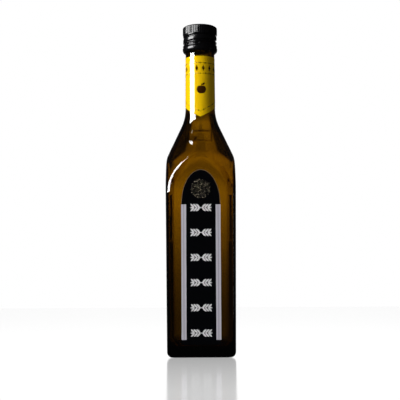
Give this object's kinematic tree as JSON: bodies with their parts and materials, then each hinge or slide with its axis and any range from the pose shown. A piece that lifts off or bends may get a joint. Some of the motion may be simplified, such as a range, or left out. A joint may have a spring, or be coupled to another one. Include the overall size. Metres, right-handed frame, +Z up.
{
  "type": "square glass bottle of vinegar with screw cap",
  "caption": "Tall square amber glass bottle of apple cider vinegar with an arched shoulder, a black screw cap, a yellow neck label and a black printed panel.",
  "frame": {"origin": "middle of the base, on the surface that the bottle stands on", "axes": "+Z up along the bottle's axis; the labelled face looks along -Y, +X is to its right"},
  "size_m": [0.0618, 0.0623, 0.2977],
  "materials": {
    "amber_glass": "clear polished amber glass",
    "vinegar": "clear amber liquid",
    "black_cap": "satin black lacquer",
    "yellow_label": "satin yellow paper with bronze foil",
    "black_print": "glossy black enamel with silver ornaments"
  },
  "bodies": {
    "root": {"glass_bottle": "amber_glass", "vinegar": "vinegar", "screw_cap": "black_cap", "cap_security_ring": "black_cap", "neck_label": "yellow_label", "body_label": "black_print"}
  },
  "joints": []
}
